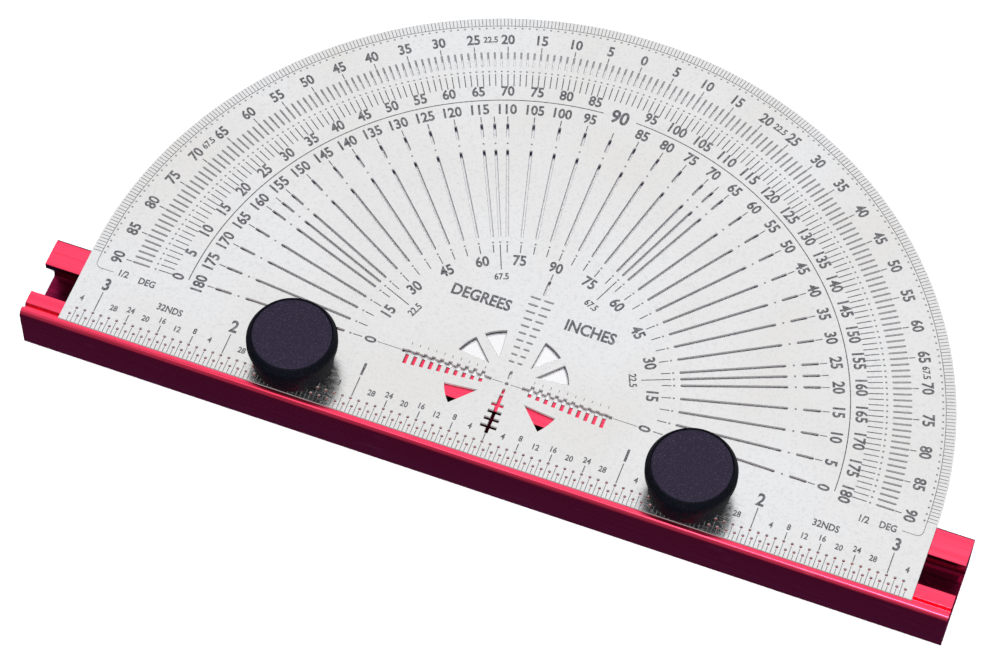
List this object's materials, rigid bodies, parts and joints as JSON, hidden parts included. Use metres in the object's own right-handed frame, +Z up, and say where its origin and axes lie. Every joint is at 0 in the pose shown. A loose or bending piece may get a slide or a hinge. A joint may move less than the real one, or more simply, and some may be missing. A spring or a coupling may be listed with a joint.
{
  "type": "marking protractor",
  "caption": "Half-disc marking protractor with pencil slots, clamped by thumb knobs on a T-slot rail that registers on the edge of the work.",
  "frame": {"origin": "centre of the rail's underside", "axes": "+X along the rail and the ruler edge, +Y from the rail towards the blade's dome, square to the registration face, +Z up from the rail's underside to the knobs"},
  "size_m": [0.1778, 0.0994, 0.0195],
  "materials": {
    "stainless_blade": "satin, fine-grained sheet with etched dark grey marks",
    "red_anodised": "satin red anodised extrusion with fine lines along its length",
    "knob_plastic": "fine-textured black moulding",
    "cap_plastic": "finely grained black disc, a little lighter than the knob",
    "insert_brass": "turned",
    "washer_nylon": "smooth black nylon",
    "bolt_steel": "zinc plated"
  },
  "bodies": {
    "rail": {"rail": "red_anodised"},
    "blade": {"blade": "stainless_blade", "left_washer": "washer_nylon", "right_washer": "washer_nylon"},
    "left_knob": {"left_knob": "knob_plastic", "left_insert": "insert_brass", "left_knob_cap": "cap_plastic"},
    "left_bolt": {"left_t_bolt": "bolt_steel"},
    "right_knob": {"right_knob": "knob_plastic", "right_insert": "insert_brass", "right_knob_cap": "cap_plastic"},
    "right_bolt": {"right_t_bolt": "bolt_steel"}
  },
  "joints": [
    {"name": "blade_slide", "type": "slide", "parent": "rail", "child": "blade", "axis": [1, 0, 0], "range_m": [-0.038, 0.038]},
    {"name": "left_knob_turn", "type": "hinge", "parent": "blade", "child": "left_knob", "pos_m": [-0.0381, -0.0002, 0.0195], "axis": [0, 0, 1], "range_deg": [0, 1080]},
    {"name": "left_bolt_travel", "type": "slide", "parent": "blade", "child": "left_bolt", "axis": [0, 0, 1], "range_m": [-0.00238, 0]},
    {"name": "right_knob_turn", "type": "hinge", "parent": "blade", "child": "right_knob", "pos_m": [0.0381, -0.0002, 0.0195], "axis": [0, 0, 1], "range_deg": [0, 1080]},
    {"name": "right_bolt_travel", "type": "slide", "parent": "blade", "child": "right_bolt", "axis": [0, 0, 1], "range_m": [-0.00238, 0]}
  ],
  "couplings": [
    {"joint": "left_knob_turn", "follows": "left_bolt_travel", "rad_per_m": -7915.8},
    {"joint": "right_knob_turn", "follows": "right_bolt_travel", "rad_per_m": -7915.8}
  ]
}
